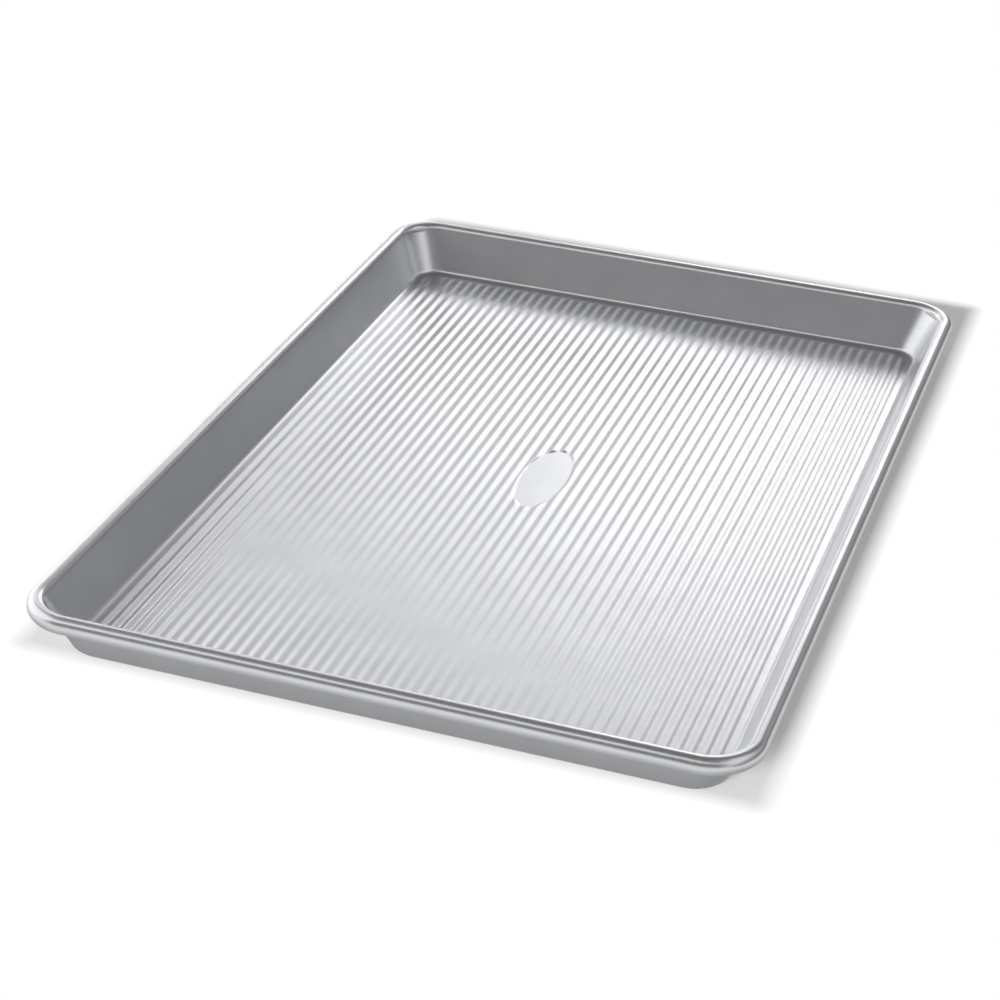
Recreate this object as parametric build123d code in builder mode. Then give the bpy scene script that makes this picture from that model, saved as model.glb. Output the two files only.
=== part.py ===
from build123d import *

import os
from math import cos, radians, sin, sqrt

# Jelly roll pan: one drawn steel sheet with a corrugated floor, leaning walls and a rim
# curled over a round wire. Millimetres, +Z up. The origin lies on the table under the
# middle of the pan. X runs across the pan, Y along it, and the ribs run along Y.

os.makedirs("parts", exist_ok=True)

# The whole pan
rim_width = 260.4  # across the pan, over the curled rim
rim_length = 387.4  # along the pan, over the curled rim
rim_height = 21.2  # from the table to the top of the rim
rim_corner_radius = 22.6  # outside of the rim, seen from above
sheet = 0.8  # thickness of the steel sheet
wall_angle = 22.5  # degrees that the walls lean out from upright
floor_bend_radius = 2.5  # inside radius where the floor turns up into a wall

# The rolled rim and the wire in it
wire_diameter = 4.9
wire_clearance = 0.05  # between the wire and the sheet that is rolled round it
wire_end_gap = 1.0  # between the two butted ends of the wire
curl_turn = 310.0  # degrees that the sheet is rolled round the wire

# The ribs pressed into the floor
rib_pitch = 4.46
rib_height = 0.5  # from valley to crest
rib_crest_width = 1.0  # flat top of a rib
rib_flank_width = 1.3  # each sloping side of a rib, seen from above
rib_ramp = 3.5  # length over which a rib runs out to the flat floor
rib_side_margin = 0.6  # least flat floor beside the outermost ribs
rib_end_margin = 2.6  # flat floor between the ends of the ribs and the bend
rib_corner_clearance = 0.1  # least flat floor between the ribs and a corner bend

# The flat oval pad that interrupts the ribs
pad_width = 18.0
pad_length = 49.0
pad_offset_x = -2.0
pad_offset_y = 6.3

overrun = 1.0  # how far a cut runs past the sheet

# The rolled rim: its section is a ring round the wire
lean = radians(wall_angle)
curl_radius = wire_diameter / 2 + wire_clearance
bead_radius = curl_radius + sheet
bead_x = rim_width / 2 - bead_radius
bead_y = rim_length / 2 - bead_radius
bead_z = rim_height - bead_radius
bead_corner_radius = rim_corner_radius - bead_radius

# The wall is a straight line that touches the floor bend on one side and the rim on the
# other, and that fixes how far in from the rim the flat floor ends
bend_z = sheet + floor_bend_radius
wall_rise = (bead_z - bend_z) * sin(lean)
wall_inset = (floor_bend_radius + bead_radius + wall_rise) / cos(lean)
floor_x = bead_x - wall_inset
floor_y = bead_y - wall_inset
floor_corner_radius = bead_corner_radius - wall_inset

# The ribbed field: as many ribs as the floor holds, one of them on the middle line
ribs_each_side = int((floor_x - rib_side_margin - rib_pitch / 2) / rib_pitch)
rib_count = 2 * ribs_each_side + 1
rib_foot = rib_crest_width / 2 + rib_flank_width
bar_depth = sheet + overrun
field_x = rib_count * rib_pitch / 2
corner_x = floor_x - floor_corner_radius
corner_y = floor_y - floor_corner_radius
corner_room = floor_corner_radius - rib_corner_clearance
corner_reach = sqrt(max(corner_room**2 - max(field_x - corner_x, 0) ** 2, 0))
field_y = min(floor_y - rib_end_margin, corner_y + corner_reach)
crest_y = field_y - rib_ramp


def wall_outline(bead_at):
    """Draw the section through one wall and its rim, with the rim bead_at from the middle."""
    bend = (bead_at - wall_inset, bend_z)
    bead = (bead_at, bead_z)
    outer_bend = CenterArc(bend, bend_z, -90, 90 - wall_angle)
    inner_bend = CenterArc(bend, floor_bend_radius, -90, 90 - wall_angle)
    inner_curl = CenterArc(bead, curl_radius, 180 - wall_angle, -curl_turn)
    outer_curl = CenterArc(bead, bead_radius, 180 - wall_angle, -curl_turn)
    Line(inner_bend @ 0, outer_bend @ 0)
    Line(outer_bend @ 1, inner_curl @ 0)
    Line(inner_curl @ 1, outer_curl @ 1)
    Line(outer_curl @ 0, inner_bend @ 1)


# One rib as a solid bar: a flat crest, two flanks and half a valley on each side, with both
# ends sloping down to the level of the valleys
with BuildPart() as rib_bar:
    with BuildSketch(Plane.XZ):
        with BuildLine():
            Polyline(
                (-rib_pitch / 2, -bar_depth),
                (-rib_pitch / 2, 0),
                (-rib_foot, 0),
                (-rib_crest_width / 2, rib_height),
                (rib_crest_width / 2, rib_height),
                (rib_foot, 0),
                (rib_pitch / 2, 0),
                (rib_pitch / 2, -bar_depth),
                close=True,
            )
        make_face()
    extrude(amount=field_y, both=True)
    with BuildSketch(Plane.YZ):
        with BuildLine():
            Polyline(
                (-field_y, -bar_depth),
                (-field_y, 0),
                (-crest_y, rib_height),
                (crest_y, rib_height),
                (field_y, 0),
                (field_y, -bar_depth),
                close=True,
            )
        make_face()
    extrude(amount=rib_pitch, both=True, mode=Mode.INTERSECT)

# The sheet over that bar: the bar raised by the sheet's thickness, less the bar itself
with BuildPart() as rib:
    with Locations((0, 0, sheet)):
        add(rib_bar.part)
    add(rib_bar.part, mode=Mode.SUBTRACT)

# The pan: walls and rim are made as one quarter and mirrored twice
with BuildPart() as pan_shell:
    with BuildSketch(Plane.XZ):
        with BuildLine():
            wall_outline(bead_x)
        make_face()
    extrude(amount=bead_corner_radius - bead_y)
    with BuildSketch(Plane.YZ):
        with BuildLine():
            wall_outline(bead_y)
        make_face()
    extrude(amount=bead_x - bead_corner_radius)
    with BuildSketch(Plane.XZ.offset(bead_corner_radius - bead_y)):
        with BuildLine():
            wall_outline(bead_x)
        make_face()
    corner = Axis((bead_x - bead_corner_radius, bead_y - bead_corner_radius, 0), (0, 0, 1))
    revolve(axis=corner, revolution_arc=90)
    mirror(about=Plane.YZ)
    mirror(about=Plane.XZ)

    # The flat border of the floor, round the ribbed field
    with BuildSketch():
        RectangleRounded(2 * floor_x, 2 * floor_y, floor_corner_radius)
        Rectangle(2 * field_x, 2 * field_y, mode=Mode.SUBTRACT)
    extrude(amount=sheet)

    # The ribbed field, side by side from wall to wall
    with GridLocations(rib_pitch, rib_pitch, rib_count, 1):
        add(rib.part)

    # The flat oval pad, level with the valleys
    with BuildSketch():
        with Locations((pad_offset_x, pad_offset_y)):
            Ellipse(pad_width / 2, pad_length / 2)
    extrude(amount=sheet + rib_height + overrun, mode=Mode.SUBTRACT)
    with BuildSketch():
        with Locations((pad_offset_x, pad_offset_y)):
            Ellipse(pad_width / 2, pad_length / 2)
    extrude(amount=sheet)

pan_shell.part.label = "pan_shell"
export_step(pan_shell.part, "parts/pan_shell.step")

# The wire that stiffens the rim: one length bent round the pan, its ends butted at the back
with BuildPart() as rim_wire:
    with BuildLine(Plane.XY.offset(bead_z)) as wire_path:
        FilletPolyline(
            (wire_end_gap / 2, bead_y),
            (bead_x, bead_y),
            (bead_x, -bead_y),
            (-bead_x, -bead_y),
            (-bead_x, bead_y),
            (-wire_end_gap / 2, bead_y),
            radius=bead_corner_radius,
        )
    with BuildSketch(Plane(origin=wire_path.line @ 0, z_dir=wire_path.line % 0)):
        Circle(wire_diameter / 2)
    sweep()

rim_wire.part.label = "rim_wire"
export_step(rim_wire.part, "parts/rim_wire.step")
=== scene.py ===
"""A jelly roll pan, dressed for a picture: ribbed floor, leaning walls, rim rolled over a wire.

Lengths are in metres and angles in degrees. X runs across the pan, Y along it from the front to
the back, and Z up from the table.
"""

import logging
from collections.abc import Iterable
from dataclasses import dataclass, field
from enum import Enum
from math import cos, hypot, pi, radians, sin, sqrt

import bmesh
import bpy
from mathutils import Matrix, Vector


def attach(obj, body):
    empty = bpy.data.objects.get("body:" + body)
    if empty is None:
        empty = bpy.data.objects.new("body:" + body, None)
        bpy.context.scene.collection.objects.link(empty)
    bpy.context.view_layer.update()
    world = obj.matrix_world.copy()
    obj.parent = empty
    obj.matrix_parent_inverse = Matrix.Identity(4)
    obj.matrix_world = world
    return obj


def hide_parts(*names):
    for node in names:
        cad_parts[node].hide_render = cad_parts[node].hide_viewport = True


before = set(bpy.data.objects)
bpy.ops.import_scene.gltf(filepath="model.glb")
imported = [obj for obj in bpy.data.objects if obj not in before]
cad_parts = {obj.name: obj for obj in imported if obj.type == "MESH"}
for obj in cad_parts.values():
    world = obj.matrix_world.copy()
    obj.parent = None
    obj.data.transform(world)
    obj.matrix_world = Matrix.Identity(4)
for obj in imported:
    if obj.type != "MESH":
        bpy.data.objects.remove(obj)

logging.basicConfig(level=logging.INFO, format="%(name)s: %(message)s")
LOG = logging.getLogger("jelly_roll_pan")

Colour = tuple[float, float, float, float]
Triple = tuple[float, float, float]
Range = tuple[float, float]
Edges = list[bmesh.types.BMEdge]

ONE_SPOT = 1e-6  # vertices closer together than this are one
SHARP_ANGLE = 40.0  # edges that turn more than this stay sharp
WHITE: Colour = (1.0, 1.0, 1.0, 1.0)


class Side(Enum):
    """The upright planes through the middle of the pan, by the direction that they mirror."""

    LEFT = "X"
    FRONT = "Y"


class Ending(Enum):
    """What a node tree is for, by the type of its last node."""

    SURFACE = "OutputMaterial"
    ROOM = "OutputWorld"


def eased(share: float) -> float:
    """Turn an even rise from 0 to 1 into one with soft ends, and hold it in that range.

    Args:
        share: how far along the rise a place is, below 0 before it and over 1 after it.

    Returns:
        The height there, from 0 to 1.
    """
    held = min(max(share, 0.0), 1.0)
    return held * held * (3 - 2 * held)


def direction(azimuth: float, elevation: float) -> Vector:
    """Give the way from the pan to a place in the room.

    Args:
        azimuth: the angle from straight behind the pan, towards the right.
        elevation: the angle over the table.

    Returns:
        The way, with a length of one.
    """
    turn = radians(azimuth)
    tilt = radians(elevation)
    return Vector((sin(turn) * cos(tilt), cos(turn) * cos(tilt), sin(tilt)))


# Finishes


@dataclass(frozen=True)
class Pattern:
    """A cloudy pattern on a piece, in the piece's own coordinates."""

    cells: float  # per metre
    layers: float  # of ever finer clouds
    strength: float = 0.5  # of each finer layer next to the one before
    squeeze: Triple = (1.0, 1.0, 1.0)  # how many times closer the cells lie along each direction


class NodeBench:
    """A node tree in the making, with short ways to add and join nodes."""

    def __init__(self, holder: bpy.types.ID, ending: Ending) -> None:
        """Start an empty tree.

        Args:
            holder: the material or world that the tree belongs to.
            ending: what the tree is for.
        """
        self.holder = holder
        self.holder.use_nodes = True
        self.tree = self.holder.node_tree
        self.tree.nodes.clear()
        self.output = self.node(ending.value)

    def node(self, kind: str, **settings: str) -> bpy.types.Node:
        """Add a node.

        Args:
            kind: the node's type, without its ShaderNode prefix.
            **settings: properties of the node, by name.

        Returns:
            The new node.
        """
        made = self.tree.nodes.new("ShaderNode" + kind)
        for key, value in settings.items():
            setattr(made, key, value)
        return made

    def join(self, source: bpy.types.NodeSocket, target: bpy.types.NodeSocket) -> None:
        """Link an output socket to an input socket."""
        self.tree.links.new(source, target)

    def finish(self, shader: bpy.types.NodeSocket) -> bpy.types.ID:
        """Join a shader to the end of the tree, and give the material or world back."""
        self.join(shader, self.output.inputs["Surface"])
        return self.holder

    def object_point(self) -> bpy.types.NodeSocket:
        """Give the place on the piece, in its own coordinates."""
        return self.node("TexCoord").outputs["Object"]

    def clouds(self, pattern: Pattern) -> bpy.types.NodeSocket:
        """Add a cloudy pattern.

        Args:
            pattern: its sizes.

        Returns:
            The socket that holds the pattern, from 0 to 1.
        """
        mapping = self.node("Mapping")
        mapping.inputs["Scale"].default_value = pattern.squeeze
        self.join(self.object_point(), mapping.inputs["Vector"])
        cloud = self.node("TexNoise")
        cloud.inputs["Scale"].default_value = pattern.cells
        cloud.inputs["Detail"].default_value = pattern.layers
        cloud.inputs["Roughness"].default_value = pattern.strength
        self.join(mapping.outputs["Vector"], cloud.inputs["Vector"])
        return cloud.outputs["Fac"]

    def span(
        self, value: bpy.types.NodeSocket, before: Range, after: Range
    ) -> bpy.types.NodeSocket:
        """Map a range of values onto another one, and hold them in it.

        Args:
            value: what is mapped.
            before: the range that it has.
            after: the range that it gets.

        Returns:
            The socket that holds the mapped value.
        """
        ranged = self.node("MapRange")
        ranged.inputs["From Min"].default_value = before[0]
        ranged.inputs["From Max"].default_value = before[1]
        ranged.inputs["To Min"].default_value = after[0]
        ranged.inputs["To Max"].default_value = after[1]
        self.join(value, ranged.inputs["Value"])
        return ranged.outputs["Result"]

    def maths(
        self, kind: str, first: bpy.types.NodeSocket, second: bpy.types.NodeSocket
    ) -> bpy.types.NodeSocket:
        """Work out two values.

        Args:
            kind: the sum's name, such as ADD or MULTIPLY.
            first: the socket of the first value.
            second: the socket of the second value.

        Returns:
            The socket that holds the result.
        """
        made = self.node("Math", operation=kind)
        self.join(first, made.inputs[0])
        self.join(second, made.inputs[1])
        return made.outputs["Value"]

    def largest(self, *values: bpy.types.NodeSocket) -> bpy.types.NodeSocket:
        """Pick the largest of several values.

        Args:
            *values: the sockets that hold them.

        Returns:
            The socket that holds the largest one.
        """
        best, *others = values
        for other in others:
            best = self.maths("MAXIMUM", best, other)
        return best

    def share_out(
        self, first: bpy.types.NodeSocket, second: bpy.types.NodeSocket, share: float
    ) -> bpy.types.NodeSocket:
        """Add two values, each by its share.

        Args:
            first: the socket of the first value.
            second: the socket of the second value.
            share: what the second one counts for, out of 1.

        Returns:
            The socket that holds the sum.
        """
        parts = []
        for value, weight in ((first, 1 - share), (second, share)):
            part = self.node("Math", operation="MULTIPLY")
            part.inputs[1].default_value = weight
            self.join(value, part.inputs[0])
            parts.append(part.outputs["Value"])
        return self.maths("ADD", *parts)

    def blend(
        self, share: bpy.types.NodeSocket, dull: Colour, pale: Colour
    ) -> bpy.types.NodeSocket:
        """Blend two colours.

        Args:
            share: the socket that holds how much of the pale one there is.
            dull: the colour where there is none of it.
            pale: the colour where there is nothing else.

        Returns:
            The socket that holds the colour.
        """
        tint = self.node("Mix", data_type="RGBA")
        tint.inputs["A"].default_value = dull
        tint.inputs["B"].default_value = pale
        self.join(share, tint.inputs["Factor"])
        return tint.outputs["Result"]

    def bump(
        self,
        height: bpy.types.NodeSocket,
        depth: float,
        strength: float = 1.0,
        under: bpy.types.NodeSocket | None = None,
    ) -> bpy.types.NodeSocket:
        """Raise a pattern a little over the surface.

        Args:
            height: the pattern.
            depth: how high it stands where it is 1.
            strength: how much of it shows.
            under: the socket of a bump that this one lies on, if there is one.

        Returns:
            The socket that holds the direction that the surface faces.
        """
        raised = self.node("Bump")
        raised.inputs["Strength"].default_value = strength
        raised.inputs["Distance"].default_value = depth
        self.join(height, raised.inputs["Height"])
        if under is not None:
            self.join(under, raised.inputs["Normal"])
        return raised.outputs["Normal"]

    def bare_metal(
        self,
        tint: bpy.types.NodeSocket,
        roughness: bpy.types.NodeSocket,
        facing: bpy.types.NodeSocket,
    ) -> bpy.types.Material:
        """Finish the tree as bare metal.

        Args:
            tint: the socket of its colour.
            roughness: the socket of its roughness.
            facing: the socket that holds the direction that the surface faces.

        Returns:
            The material.
        """
        metal = self.node("BsdfPrincipled")
        metal.inputs["Metallic"].default_value = 1.0
        self.join(tint, metal.inputs["Base Color"])
        self.join(roughness, metal.inputs["Roughness"])
        self.join(facing, metal.inputs["Normal"])
        return self.finish(metal.outputs["BSDF"])

    def light(self, strength: bpy.types.NodeSocket | float) -> bpy.types.NodeSocket:
        """Add a surface that shines in white.

        Args:
            strength: its brightness, as a number or as the socket that holds it.

        Returns:
            The socket of its shader.
        """
        shine = self.node("Emission")
        shine.inputs["Color"].default_value = WHITE
        if isinstance(strength, bpy.types.NodeSocket):
            self.join(strength, shine.inputs["Strength"])
        else:
            shine.inputs["Strength"].default_value = strength
        return shine.outputs["Emission"]

    def mix_shaders(
        self,
        share: bpy.types.NodeSocket,
        first: bpy.types.NodeSocket,
        second: bpy.types.NodeSocket,
    ) -> bpy.types.NodeSocket:
        """Mix two shaders.

        Args:
            share: the socket that holds what the second one counts for.
            first: the socket of the first shader.
            second: the socket of the second shader.

        Returns:
            The socket of the mixed shader.
        """
        mixed = self.node("MixShader")
        self.join(share, mixed.inputs[0])
        self.join(first, mixed.inputs[1])
        self.join(second, mixed.inputs[2])
        return mixed.outputs["Shader"]


@dataclass(frozen=True)
class CoatedSteel:
    """Sheet steel with a thin satin coat of aluminium, drawn and pressed into shape."""

    name: str = "aluminised_steel"
    pale: Colour = (0.694, 0.702, 0.721, 1.0)
    dull: Colour = (0.645, 0.652, 0.668, 1.0)
    smooth: float = 0.29
    rough: float = 0.35
    clouds: Pattern = Pattern(60.0, 4.0)
    flecks: Pattern = Pattern(900.0, 3.0, 0.6)
    grain: Pattern = Pattern(2600.0, 2.0, squeeze=(1.0, 0.1, 1.0))
    streaks: Pattern = Pattern(1.0, 3.0, squeeze=(6.0, 6.0, 650.0))
    fleck_share: float = 0.4  # of the colour, next to the clouds
    grain_share: float = 0.5  # of the roughness, next to the flecks
    pattern_middle: Range = (0.35, 0.65)  # what is stretched to the full range
    streak_depth: float = 0.000008
    cloud_depth: float = 0.00005
    grain_depth: float = 0.000003

    def material(self) -> bpy.types.Material:
        """Build the finish.

        Returns:
            The material.
        """
        bench = NodeBench(bpy.data.materials.new(self.name), Ending.SURFACE)
        clouds = bench.clouds(self.clouds)
        flecks = bench.clouds(self.flecks)
        grain = bench.clouds(self.grain)
        streaks = bench.clouds(self.streaks)

        wear = bench.share_out(clouds, flecks, self.fleck_share)
        tint = bench.blend(bench.span(wear, self.pattern_middle, (0.0, 1.0)), self.dull, self.pale)
        haze = bench.share_out(flecks, grain, self.grain_share)
        roughness = bench.span(haze, self.pattern_middle, (self.smooth, self.rough))

        facing = bench.bump(streaks, self.streak_depth)
        facing = bench.bump(clouds, self.cloud_depth, under=facing)
        facing = bench.bump(grain, self.grain_depth, under=facing)
        return bench.bare_metal(tint, roughness, facing)


@dataclass(frozen=True)
class BareWire:
    """Plain drawn wire, a little darker than the coated sheet round it."""

    name: str = "rim_wire_steel"
    pale: Colour = (0.50, 0.50, 0.51, 1.0)
    dull: Colour = (0.36, 0.35, 0.35, 1.0)
    smooth: float = 0.28
    rough: float = 0.45
    marks: Pattern = Pattern(900.0, 4.0, 0.6)
    pattern_middle: Range = (0.3, 0.7)  # what is stretched to the full range
    mark_depth: float = 0.00003
    mark_strength: float = 0.3

    def material(self) -> bpy.types.Material:
        """Build the finish.

        Returns:
            The material.
        """
        bench = NodeBench(bpy.data.materials.new(self.name), Ending.SURFACE)
        marks = bench.clouds(self.marks)
        tint = bench.blend(bench.span(marks, self.pattern_middle, (0.0, 1.0)), self.dull, self.pale)
        roughness = bench.span(marks, self.pattern_middle, (self.smooth, self.rough))
        facing = bench.bump(marks, self.mark_depth, self.mark_strength)
        return bench.bare_metal(tint, roughness, facing)


@dataclass(frozen=True)
class WhiteTable:
    """The white table, which fades into the white backdrop where the pan's shadow ends."""

    name: str = "white_table"
    paper: Colour = (0.90, 0.90, 0.895, 1.0)
    shadow_middle: Triple = (-0.001, 0.031, 0.0)
    shadow_reach: Triple = (0.129, 0.2085, 0.0)  # each way from its middle
    fade: float = 0.008  # how far outside the shadow the backdrop begins
    veil: float = 0.15  # how much of the backdrop lies over the shadow
    fade_in_metal: float = 0.055  # the same distance, as the metal shows it: where its painted shade fades to white
    painted_shade_level: float = 0.38  # painted shade: brightness of the table under the pan, as the metal shows it, darkened in place of the pan's shadow

    def beyond_shadow(self, bench: NodeBench) -> bpy.types.NodeSocket:
        """Work out how far outside the shadow a place on the table is.

        Args:
            bench: the table's node tree.

        Returns:
            The socket that holds the distance, which is 0 inside the shadow.
        """
        away = bench.object_point()
        steps = (
            ("SUBTRACT", self.shadow_middle),
            ("ABSOLUTE", None),
            ("SUBTRACT", self.shadow_reach),
            ("MAXIMUM", (0.0, 0.0, 0.0)),
        )
        for kind, amount in steps:
            step = bench.node("VectorMath", operation=kind)
            bench.join(away, step.inputs[0])
            if amount is not None:
                step.inputs[1].default_value = amount
            away = step.outputs["Vector"]
        distance = bench.node("VectorMath", operation="LENGTH")
        bench.join(away, distance.inputs[0])
        return distance.outputs["Value"]

    def material(self) -> bpy.types.Material:
        """Build the finish.

        Returns:
            The material.
        """
        bench = NodeBench(bpy.data.materials.new(self.name), Ending.SURFACE)
        matt = bench.node("BsdfDiffuse")
        matt.inputs["Color"].default_value = self.paper
        path = bench.node("LightPath")
        seen = path.outputs["Is Camera Ray"]

        distance = self.beyond_shadow(bench)
        fade = bench.span(distance, (0.0, self.fade), (self.veil, 1.0))
        # Seen in the metal, the table glows white with painted shade, darkest next to the pan, in
        # place of its shadow.
        shade = bench.span(distance, (0.0, self.fade_in_metal), (self.painted_shade_level, 1.0))
        backdrop = bench.light(bench.largest(shade, seen))
        share = bench.largest(
            bench.maths("MULTIPLY", fade, seen),
            path.outputs["Is Glossy Ray"],
            path.outputs["Is Transmission Ray"],
        )
        return bench.finish(bench.mix_shaders(share, matt.outputs["BSDF"], backdrop))


@dataclass(frozen=True)
class PlainCard:
    """A studio card of one even brightness."""

    name: str
    brightness: float

    def material(self) -> bpy.types.Material:
        """Build the finish, and give the material."""
        bench = NodeBench(bpy.data.materials.new(self.name), Ending.SURFACE)
        return bench.finish(bench.light(self.brightness))


# The pan


def finished_object(
    name: str, bm: bmesh.types.BMesh, material: bpy.types.Material
) -> bpy.types.Object:
    """Turn a mesh in the making into a piece of the scene.

    Args:
        name: the piece's name.
        bm: the mesh in the making, which is freed.
        material: its finish.

    Returns:
        The new object, at the origin, unturned and unscaled.
    """
    mesh = bpy.data.meshes.new(name)
    bm.to_mesh(mesh)
    bm.free()
    mesh.materials.append(material)
    mesh.shade_smooth()
    mesh.set_sharp_from_angle(angle=radians(SHARP_ANGLE))
    piece = bpy.data.objects.new(name, mesh)
    bpy.context.scene.collection.objects.link(piece)
    return piece


@dataclass
class PanShell:
    """The drawn sheet: ribbed floor, oval pad, leaning walls and the curled rim."""

    rim_width: float = 0.2604
    rim_length: float = 0.3874
    rim_height: float = 0.0212
    rim_corner_radius: float = 0.0200
    foot_corner_radius: float = 0.0110
    sheet: float = 0.0008
    wall_angle: float = 22.5  # from upright
    floor_bend_radius: float = 0.0025
    bead_radius: float = 0.0033
    curl_turn: float = 310.0

    rib_pitch: float = 0.00446
    rib_height: float = 0.00038
    rib_shift: float = -0.0005  # from the middle line of the pan to that of the middle rib
    ribs_each_side: int = 25
    rib_ramp: float = 0.0045  # how far a rib takes to rise at its end
    rib_end_margin: float = 0.0007  # between the ends of the ribs and the bend
    end_zone: float = 0.0200  # the part of the floor's ends that follows the round corners

    pad_width: float = 0.018
    pad_length: float = 0.049
    pad_centre: tuple[float, float] = (-0.0010, 0.0046)
    pad_edge: float = 0.0011
    pad_core: float = 0.01  # share of the pad, round its middle, where its edge has no slope

    flat_strip: float = 0.00012  # the part of the flat border that belongs to the wall's line
    columns_per_rib: int = 12
    ramp_rows: int = 6
    pad_rows: int = 108
    bend_steps: int = 10
    curl_steps: int = 44
    corner_steps: int = 20
    wall_rows: tuple[float, ...] = (0.03, 0.2, 0.5, 0.8, 0.97, 1.0)  # shares of the wall's height
    side_rows: tuple[float, ...] = (0.0006, 0.004, 0.024, 0.080)  # distances from the corner
    floor_rows: tuple[float, ...] = (0.12, 0.06)  # distances from the middle of the pan
    finish: CoatedSteel = field(default_factory=CoatedSteel)

    def __post_init__(self) -> None:
        """Work out the places that follow from the sizes."""
        lean = radians(self.wall_angle)
        self.bead_x = self.rim_width / 2 - self.bead_radius
        self.bead_y = self.rim_length / 2 - self.bead_radius
        self.bead_z = self.rim_height - self.bead_radius
        self.corner_radius = self.rim_corner_radius - self.bead_radius
        self.bend_z = self.sheet + self.floor_bend_radius
        rise = (self.bead_z - self.bend_z) * sin(lean)
        self.wall_inset = (self.floor_bend_radius + self.bead_radius + rise) / cos(lean)
        self.field_x = (self.ribs_each_side + 0.5) * self.rib_pitch
        self.field_y = self.bead_y - self.wall_inset - self.rib_end_margin
        corner = (self.bead_x - self.corner_radius, self.bead_y - self.corner_radius, 0)
        self.corner = Vector(corner)

    def draw_wall(self, bm: bmesh.types.BMesh) -> Edges:
        """Draw the face of one long wall as a line, from the floor over the rim to its lip.

        Args:
            bm: the mesh that the line is drawn in.

        Returns:
            The edges of the line, in the plane where the rim's corner begins.
        """
        start = Vector((self.bead_x - self.wall_inset, self.corner.y, self.sheet))
        tip = bm.verts.new(start - Vector((self.flat_strip, 0, 0)))
        tip = self.lead_tip(bm, tip, start)
        bend = Vector((start.x, start.y, self.bend_z))
        tip = self.turn_tip(bm, tip, bend, self.wall_angle - 90, self.bend_steps)

        bead = Vector((self.bead_x, start.y, self.bead_z))
        lean = radians(self.wall_angle)
        wall_top = bead + self.bead_radius * Vector((-cos(lean), 0, sin(lean)))
        wall_foot = tip.co.copy()
        for share in self.wall_rows:
            tip = self.lead_tip(bm, tip, wall_foot.lerp(wall_top, share))
        self.turn_tip(bm, tip, bead, self.curl_turn, self.curl_steps)
        return list(bm.edges)

    def lead_tip(
        self, bm: bmesh.types.BMesh, tip: bmesh.types.BMVert, place: Vector
    ) -> bmesh.types.BMVert:
        """Carry the end of the line straight to a place.

        Args:
            bm: the mesh that the line is drawn in.
            tip: the line's last vertex.
            place: where the line goes.

        Returns:
            The new last vertex of the line.
        """
        led = bmesh.ops.extrude_vert_indiv(bm, verts=[tip])["verts"][0]
        led.co = place
        return led

    def turn_tip(
        self,
        bm: bmesh.types.BMesh,
        tip: bmesh.types.BMVert,
        centre: Vector,
        angle: float,
        steps: int,
    ) -> bmesh.types.BMVert:
        """Carry the end of the line round an arc that faces along the pan.

        Args:
            bm: the mesh that the line is drawn in.
            tip: the line's last vertex.
            centre: the middle of the arc.
            angle: how far to turn, clockwise as seen from the front.
            steps: how many edges the arc gets.

        Returns:
            The new last vertex of the line.
        """
        turned = bmesh.ops.spin(
            bm,
            geom=[tip],
            cent=centre,
            axis=(0, 1, 0),
            angle=radians(angle),
            steps=steps,
            use_merge=False,
            use_duplicate=False,
        )
        return next(item for item in turned["geom_last"] if isinstance(item, bmesh.types.BMVert))

    def sweep_quarter(self, bm: bmesh.types.BMesh, line: Edges) -> None:
        """Sweep the wall's line along half a long side, round a corner and along half a short side.

        Args:
            bm: the mesh in the making.
            line: the edges of the line.
        """
        self.pull(bm, line, Vector((0, -1, 0)), self.corner.y)
        turned = bmesh.ops.spin(
            bm,
            geom=line,
            cent=self.corner,
            axis=(0, 0, 1),
            angle=radians(90),
            steps=self.corner_steps,
            use_merge=False,
            use_duplicate=False,
        )
        last = [item for item in turned["geom_last"] if isinstance(item, bmesh.types.BMEdge)]
        self.pull(bm, last, Vector((-1, 0, 0)), self.corner.x)

    def pull(self, bm: bmesh.types.BMesh, line: Edges, way: Vector, length: float) -> None:
        """Extrude a line straight to the middle of a side, with close rows where it starts.

        Args:
            bm: the mesh in the making.
            line: the edges to extrude.
            way: the direction to go.
            length: how far the middle is.
        """
        done = 0.0
        for reach in (*self.side_rows, length):
            made = bmesh.ops.extrude_edge_only(bm, edges=line)["geom"]
            verts = [item for item in made if isinstance(item, bmesh.types.BMVert)]
            bmesh.ops.translate(bm, verts=verts, vec=way * (reach - done))
            line = [item for item in made if isinstance(item, bmesh.types.BMEdge)]
            done = reach

    def corner_radius_at(self, inset: float) -> float:
        """Give the radius of a corner, seen from above.

        Args:
            inset: how far in from the middle of the bead the place lies on the straight sides.

        Returns:
            The radius there, which shrinks less towards the foot than that of a turned corner.
        """
        turned = self.corner_radius - min(inset, self.bead_radius)
        share = (inset - self.bead_radius) / (self.wall_inset - self.bead_radius)
        if share <= 0:
            return turned
        if share >= 1:
            return self.foot_corner_radius + self.wall_inset - inset
        return turned + share * (self.foot_corner_radius - turned)

    def ease_corner(self, bm: bmesh.types.BMesh) -> None:
        """Widen the turned corner of the quarter towards its foot.

        Args:
            bm: the mesh in the making, with one quarter of the walls and rim.
        """
        for vert in bm.verts:
            over = vert.co.xy - self.corner.xy
            if over.x > 0 and over.y > 0:
                inset = self.corner_radius - over.length
            elif over.x > 0:
                inset = self.bead_x - vert.co.x
            else:
                inset = self.bead_y - vert.co.y
            radius = self.corner_radius_at(inset)
            centre = Vector((self.bead_x - inset - radius, self.bead_y - inset - radius))
            if over.x > 0 and over.y > 0:
                vert.co.xy = centre + over.normalized() * radius
            elif over.x > 0:
                vert.co.y *= centre.y / self.corner.y
            else:
                vert.co.x *= centre.x / self.corner.x

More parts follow.
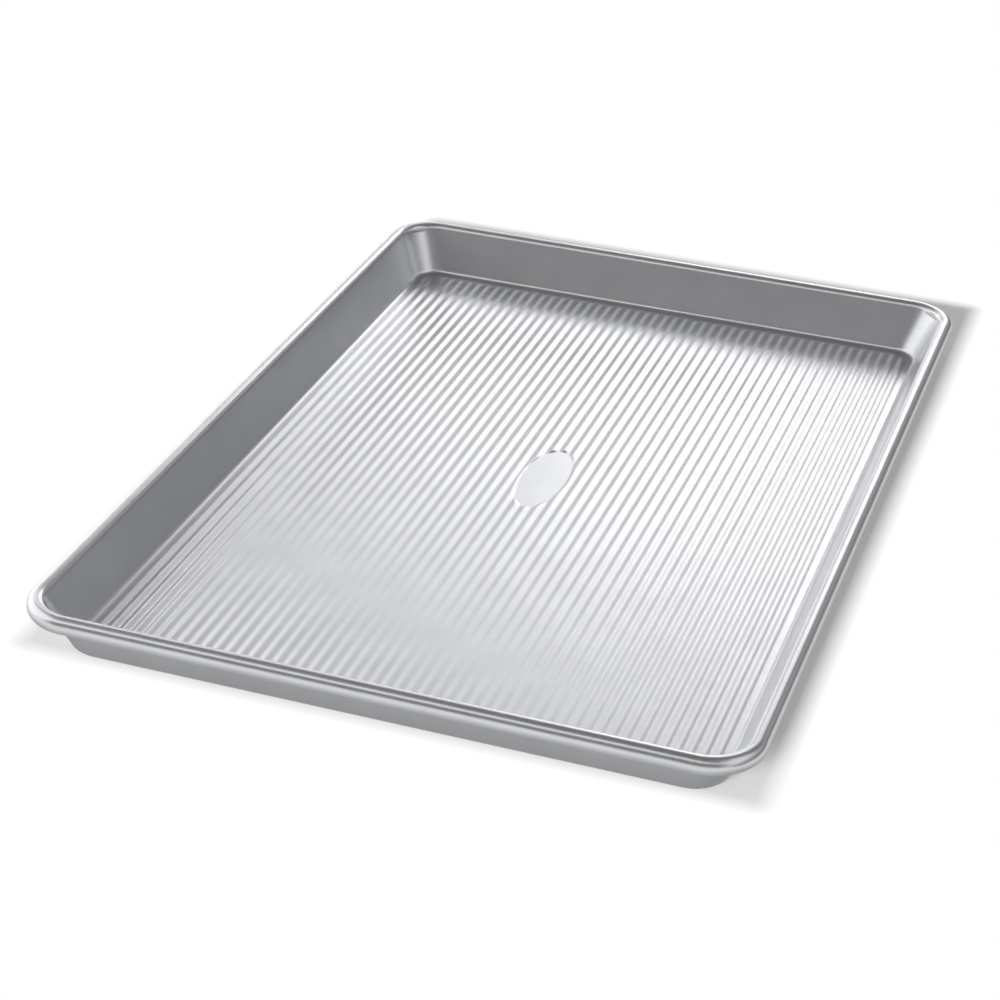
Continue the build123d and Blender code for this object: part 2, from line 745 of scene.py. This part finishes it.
    def mirror_quarter(self, bm: bmesh.types.BMesh) -> None:
        """Mirror the quarter of the walls and rim to all four corners.

        Args:
            bm: the mesh in the making.
        """
        for side in (Side.LEFT, Side.FRONT):
            everything = [*bm.verts, *bm.edges, *bm.faces]
            bmesh.ops.mirror(bm, geom=everything, merge_dist=ONE_SPOT, axis=side.value)
        bmesh.ops.remove_doubles(bm, verts=bm.verts, dist=ONE_SPOT)

    def lay_field(self, bm: bmesh.types.BMesh) -> None:
        """Lay the part of the floor that carries the ribs, as a flat sheet cut into strips.

        Args:
            bm: the mesh in the making.
        """
        columns = self.columns_per_rib * (2 * self.ribs_each_side + 1)
        size = Matrix.Diagonal((self.field_x, self.field_y, 1, 1))
        place = Matrix.Translation((self.rib_shift, 0, self.sheet)) @ size
        bmesh.ops.create_grid(bm, x_segments=columns, y_segments=1, size=1, matrix=place)
        step = self.rib_ramp / self.ramp_rows
        start = self.field_y - self.end_zone
        ramp = [self.field_y - step * (row + 1) for row in range(self.ramp_rows + 1)]
        for cut in (*ramp, start, *self.floor_rows):
            self.cut_floor(bm, bm.faces, cut)
            self.cut_floor(bm, bm.faces, -cut)
        for vert in bm.verts:
            beyond = abs(vert.co.y) - start
            if beyond > 0:
                room = self.rib_end(vert.co.x) - start
                end = 1 if vert.co.y > 0 else -1
                vert.co.y = end * (start + beyond * room / self.end_zone)

    def rib_end(self, x: float) -> float:
        """Give how far along the pan the ribs reach, which is less beside the corners.

        Args:
            x: how far right of the middle of the pan the place is.

        Returns:
            The distance from the middle of the pan to the end of a rib there.
        """
        inset = self.wall_inset + self.rib_end_margin
        radius = self.corner_radius_at(inset)
        across = max(abs(x) - (self.bead_x - inset - radius), 0.0)
        return self.bead_y - inset - radius + sqrt(max(radius * radius - across * across, 0.0))

    def cut_floor(
        self, bm: bmesh.types.BMesh, faces: Iterable[bmesh.types.BMFace], place: float
    ) -> None:
        """Cut faces of the floor along one straight line across the ribs.

        Args:
            bm: the mesh in the making.
            faces: the faces to cut.
            place: how far behind the middle of the pan the cut lies.
        """
        chosen = list(faces)
        edges = dict.fromkeys(edge for face in chosen for edge in face.edges)
        verts = dict.fromkeys(vert for face in chosen for vert in face.verts)
        along = Vector((0, 1, 0))
        bmesh.ops.bisect_plane(
            bm,
            geom=[*verts, *edges, *chosen],
            dist=ONE_SPOT,
            plane_co=along * place,
            plane_no=along,
        )

    def refine_pad(self, bm: bmesh.types.BMesh) -> None:
        """Cut the floor round the oval pad into small faces, so that its edge comes out round.

        Args:
            bm: the mesh in the making.
        """
        half_x = self.pad_width / 2 + 2 * self.pad_edge
        half_y = self.pad_length / 2 + 2 * self.pad_edge
        centre_x, centre_y = self.pad_centre
        for row in range(self.pad_rows + 1):
            cut = centre_y - half_y + 2 * half_y * row / self.pad_rows
            near = [
                face
                for face in bm.faces
                if abs(face.calc_center_median().x - centre_x) < half_x
                and min(vert.co.y for vert in face.verts) < cut - ONE_SPOT
                and max(vert.co.y for vert in face.verts) > cut + ONE_SPOT
            ]
            self.cut_floor(bm, near, cut)

    def clear_of_pad(self, x: float, y: float) -> float:
        """Give how far a place on the floor is out of the oval pad.

        Args:
            x: how far right of the middle of the pan the place is.
            y: how far behind it the place is.

        Returns:
            0 on the pad, 1 beyond the slope of its edge, and in between on that slope.
        """
        centre_x, centre_y = self.pad_centre
        half_x, half_y = self.pad_width / 2, self.pad_length / 2
        across = (x - centre_x) / half_x
        along = (y - centre_y) / half_y
        reach = hypot(across, along)
        slope = hypot(across / half_x, along / half_y) / max(reach, self.pad_core)
        return eased((reach - 1) / (slope * self.pad_edge))

    def rib_level(self, x: float, y: float) -> float:
        """Give the height of the ribs over the valleys at a place on the floor.

        Args:
            x: how far right of the middle of the pan the place is.
            y: how far behind it the place is.

        Returns:
            The height there.
        """
        wave = (1 + cos(2 * pi * (x - self.rib_shift) / self.rib_pitch)) / 2
        rise = eased((self.rib_end(x) - abs(y)) / self.rib_ramp)
        return self.rib_height * wave * rise * self.clear_of_pad(x, y)

    def press_ribs(self, bm: bmesh.types.BMesh) -> None:
        """Press the ribs and the oval pad into the flat floor.

        Args:
            bm: the mesh in the making.
        """
        for vert in bm.verts:
            vert.co.z += self.rib_level(vert.co.x, vert.co.y)

    def close_border(self, bm: bmesh.types.BMesh) -> None:
        """Fill the flat border between the ribbed field and the bend at the foot of the walls.

        Args:
            bm: the mesh in the making.
        """
        limit = self.sheet + ONE_SPOT
        loops = [
            edge
            for edge in bm.edges
            if edge.is_boundary and all(vert.co.z < limit for vert in edge.verts)
        ]
        bmesh.ops.triangle_fill(bm, use_beauty=True, use_dissolve=False, edges=loops)

    def face_up(self, bm: bmesh.types.BMesh) -> None:
        """Turn the faces so that those of the floor look up.

        Args:
            bm: the mesh in the making, as an open sheet with its doubles merged.
        """
        bmesh.ops.recalc_face_normals(bm, faces=bm.faces)
        bm.normal_update()
        middle = min(bm.faces, key=lambda face: face.calc_center_median().xy.length)
        if middle.normal.z < 0:
            bmesh.ops.reverse_faces(bm, faces=bm.faces)

    def build(self) -> bmesh.types.BMesh:
        """Make the whole sheet.

        Returns:
            The finished mesh, still in the making.
        """
        floor = bmesh.new()
        self.lay_field(floor)
        self.refine_pad(floor)
        self.press_ribs(floor)
        floor_mesh = bpy.data.meshes.new("floor")
        floor.to_mesh(floor_mesh)
        floor.free()

        bm = bmesh.new()
        self.sweep_quarter(bm, self.draw_wall(bm))
        self.ease_corner(bm)
        self.mirror_quarter(bm)
        bm.from_mesh(floor_mesh)
        bpy.data.meshes.remove(floor_mesh)
        self.close_border(bm)
        bmesh.ops.remove_doubles(bm, verts=bm.verts, dist=ONE_SPOT)
        self.face_up(bm)
        bmesh.ops.solidify(bm, geom=bm.faces, thickness=self.sheet)
        return bm

    def dress(self) -> bpy.types.Object:
        """Build the sheet, finish it and put it in the place of the plain solid.

        Returns:
            The finished piece.
        """
        piece = finished_object("pan_sheet", self.build(), self.finish.material())
        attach(piece, "root")
        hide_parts("pan_shell")
        LOG.info("%s: %d faces", piece.name, len(piece.data.polygons))
        return piece


@dataclass
class RimWire:
    """The wire in the rolled rim, which shows only through the slit under it."""

    node: str = "rim_wire"
    finish: BareWire = field(default_factory=BareWire)

    def dress(self) -> bpy.types.Object:
        """Give the wire its finish.

        Returns:
            The wire's object, its shape unchanged.
        """
        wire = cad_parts[self.node]
        material = self.finish.material()
        if not wire.material_slots:
            wire.data.materials.append(material)
        for holder in wire.material_slots:
            holder.material = material
        LOG.info("%s: %d faces", wire.name, len(wire.data.polygons))
        return wire


# The studio


@dataclass(frozen=True)
class Card:
    """A curved card round the table, which shows only in the metal.

    It bends round the pan, so that cards in layers don't cross. Its size is the one that it shows
    from the pan as if it were flat and stood at the cards' full distance.
    """

    name: str
    azimuth: float  # from straight behind the pan, towards the right
    elevation: float
    width: float
    height: float
    brightness: float
    distance: float = 2.0
    layer_gap: float = 0.01
    strips: int = 24  # each way

    def stand(self, layer: int) -> bpy.types.Object:
        """Stand the card up, facing the pan.

        Args:
            layer: how many cards may stand behind it, which it hides where they overlap.

        Returns:
            The card.
        """
        way = direction(self.azimuth, self.elevation)
        facing = way.to_track_quat("Z", "Y").to_matrix().to_4x4()
        size = Matrix.Diagonal((self.width / 2, self.height / 2, 1, 1))
        place = Matrix.Translation(way * self.distance) @ facing @ size
        bm = bmesh.new()
        bmesh.ops.create_grid(
            bm, x_segments=self.strips, y_segments=self.strips, size=1, matrix=place
        )
        for vert in bm.verts:
            vert.co = vert.co.normalized() * (self.distance - self.layer_gap * layer)
        card = finished_object(self.name, bm, PlainCard(self.name, self.brightness).material())
        card.visible_camera = False
        card.visible_diffuse = False
        card.visible_shadow = False
        return card


@dataclass(frozen=True)
class Softbox:
    """A large soft lamp that is aimed at the pan."""

    name: str
    azimuth: float  # from straight behind the pan, towards the right
    elevation: float
    width: float
    height: float
    power: float
    distance: float = 2.0
    shows_in_metal: bool = True

    def hang(self) -> bpy.types.Object:
        """Hang the lamp.

        Returns:
            The lamp's object.
        """
        way = direction(self.azimuth, self.elevation)
        lamp = bpy.data.lights.new(self.name, "AREA")
        lamp.shape = "RECTANGLE"
        lamp.size = self.width
        lamp.size_y = self.height
        lamp.energy = self.power
        holder = bpy.data.objects.new(self.name, lamp)
        holder.location = way * self.distance
        holder.rotation_euler = way.to_track_quat("Z", "Y").to_euler()
        holder.visible_glossy = self.shows_in_metal
        bpy.context.scene.collection.objects.link(holder)
        return holder


KEY_SOFTBOX = Softbox("key_softbox", 186.0, 21.0, 0.7, 0.4, 38.0, shows_in_metal=False)

# Azimuth, elevation, width, height and brightness. Where cards overlap, the later one is in front.
CARDS = (
    Card("rear_left_sheet", -52.0, 15.5, 4.80, 3.25, 1.60),
    Card("rear_right_shade", 29.5, 14.5, 2.50, 1.60, 0.12),
    Card("rear_top_shade", -18.0, 60.0, 4.60, 1.35, 0.12),
    Card("rear_window", -4.0, 26.0, 0.78, 0.55, 3.00),
    Card("rear_left_gap", -25.5, 19.0, 0.85, 0.41, 0.15),
    Card("ceiling_shade", 252.0, 78.5, 4.45, 2.60, 0.12),
    Card("front_sheet", 194.0, 32.5, 2.55, 2.65, 1.28),
    Card("front_shade", 181.0, 26.0, 3.95, 1.70, 0.17),
    Card("front_strip", 183.5, 7.5, 4.55, 0.41, 0.89),
    Card("left_panel", -96.5, 34.5, 1.95, 1.30, 1.28),
    Card("right_shade", 85.5, 8.5, 3.20, 0.80, 0.12),
    Card("right_panel", 58.0, 26.5, 4.45, 0.63, 0.45),
    Card("rear_left_panel", -14.0, 37.5, 0.85, 0.39, 0.75),
)


@dataclass
class Studio:
    """The white table and backdrop, the lamp and cards, and the camera."""

    table_reach: float = 12.0
    daylight: float = 0.35
    white: float = 1.0
    camera_place: Triple = (0.2451, -0.8370, 0.4647)
    camera_turn: Triple = (61.559, -2.208, 18.604)
    focal_length: float = 90.511  # in millimetres, as is the sensor
    sensor: float = 36.0
    nearest: float = 0.01  # what the camera sees begins here
    farthest: float = 60.0  # and ends here
    table_finish: WhiteTable = field(default_factory=WhiteTable)
    lamps: tuple[Softbox, ...] = (KEY_SOFTBOX,)
    cards: tuple[Card, ...] = CARDS

    def set_camera(self) -> bpy.types.Object:
        """Set up the camera at the viewing angle of the picture.

        Returns:
            The camera's object.
        """
        lens = bpy.data.cameras.new("camera")
        lens.lens = self.focal_length
        lens.sensor_width = self.sensor
        lens.clip_start = self.nearest
        lens.clip_end = self.farthest
        camera = bpy.data.objects.new("camera", lens)
        camera.location = self.camera_place
        camera.rotation_euler = [radians(turn) for turn in self.camera_turn]
        bpy.context.scene.collection.objects.link(camera)
        bpy.context.scene.camera = camera
        return camera

    def lay_table(self) -> bpy.types.Object:
        """Lay the white table under the pan.

        Returns:
            The table.
        """
        bm = bmesh.new()
        bmesh.ops.create_grid(bm, x_segments=1, y_segments=1, size=self.table_reach)
        table = finished_object("table", bm, self.table_finish.material())
        return table

    def light_world(self) -> bpy.types.World:
        """Fill the room with even light, with a white backdrop where it is seen or reflected.

        Returns:
            The world.
        """
        bench = NodeBench(bpy.data.worlds.new("room"), Ending.ROOM)
        shaders = []
        for strength in (self.daylight, self.white):
            even = bench.node("Background")
            even.inputs["Color"].default_value = WHITE
            even.inputs["Strength"].default_value = strength
            shaders.append(even.outputs["Background"])
        path = bench.node("LightPath")
        seen = bench.largest(
            path.outputs["Is Camera Ray"],
            path.outputs["Is Glossy Ray"],
            path.outputs["Is Transmission Ray"],
        )
        world = bench.finish(bench.mix_shaders(seen, *shaders))
        bpy.context.scene.world = world
        return world

    def set_up(self) -> None:
        """Set up the camera, the table and all the light."""
        bpy.context.scene.view_settings.view_transform = "Standard"
        self.set_camera()
        self.lay_table()
        self.light_world()
        for lamp in self.lamps:
            lamp.hang()
        for layer, card in enumerate(self.cards):
            card.stand(layer)
        LOG.info("studio: %d lamps, %d cards", len(self.lamps), len(self.cards))


def main() -> None:
    """Set up the studio and dress the pan."""
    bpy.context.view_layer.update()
    Studio().set_up()
    RimWire().dress()
    PanShell().dress()


if __name__ == "__main__":
    main()
